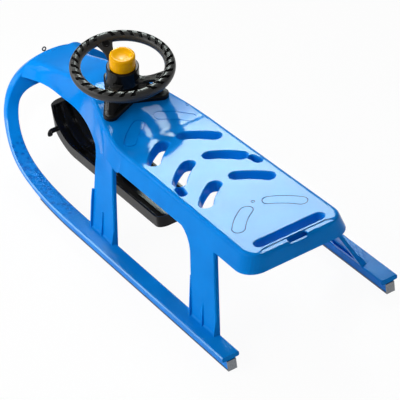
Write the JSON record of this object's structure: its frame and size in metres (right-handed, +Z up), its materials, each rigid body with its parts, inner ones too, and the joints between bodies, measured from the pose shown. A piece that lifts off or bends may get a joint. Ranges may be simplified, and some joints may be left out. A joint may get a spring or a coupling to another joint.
{
  "type": "steering sled",
  "caption": "Child's moulded sled with twin runners, a slotted seat, a hooped bow and a wheel that turns a steering ski under the neck.",
  "frame": {"origin": "centre of the base: the ground under the middle of the overall length and width", "axes": "+X to the rider's right, +Y forward to the nose, +Z up"},
  "size_m": [0.386, 0.9774, 0.3244],
  "materials": {
    "sled_blue": "gloss",
    "black_plastic": "gloss",
    "cap_yellow": "gloss",
    "rail_steel": "satin",
    "zinc_steel": "satin",
    "wire_steel": "satin",
    "bush_plastic": "matte",
    "bellows_rubber": "matte"
  },
  "bodies": {
    "sled": {"sled_body": "sled_blue", "rail_left": "rail_steel", "rail_right": "rail_steel", "rail_screw_left_rear": "zinc_steel", "rail_screw_left_front": "zinc_steel", "rail_screw_right_rear": "zinc_steel", "rail_screw_right_front": "zinc_steel", "steering_base": "black_plastic", "base_screw_front": "zinc_steel", "base_screw_left": "zinc_steel", "base_screw_right": "zinc_steel", "upper_bush": "bush_plastic", "lower_bush": "bush_plastic", "tow_eye": "wire_steel"},
    "steering": {"steering_shaft": "zinc_steel", "shaft_clip": "zinc_steel", "steering_wheel": "black_plastic", "wheel_washer": "zinc_steel", "wheel_bolt": "zinc_steel", "horn_bellows": "bellows_rubber", "steering_ski": "black_plastic", "ski_bolt": "zinc_steel", "ski_nut": "zinc_steel"},
    "horn": {"horn_button": "cap_yellow"}
  },
  "joints": [
    {"name": "steering_turn", "type": "hinge", "parent": "sled", "child": "steering", "pos_m": [0, 0.1393, 0.225], "axis": [0, -0.2079, 0.9781], "range_deg": [-18, 18]},
    {"name": "horn_press", "type": "slide", "parent": "steering", "child": "horn", "axis": [0, 0.2079, -0.9781], "range_m": [0, 0.006], "stiffness_N_per_m": 600}
  ]
}
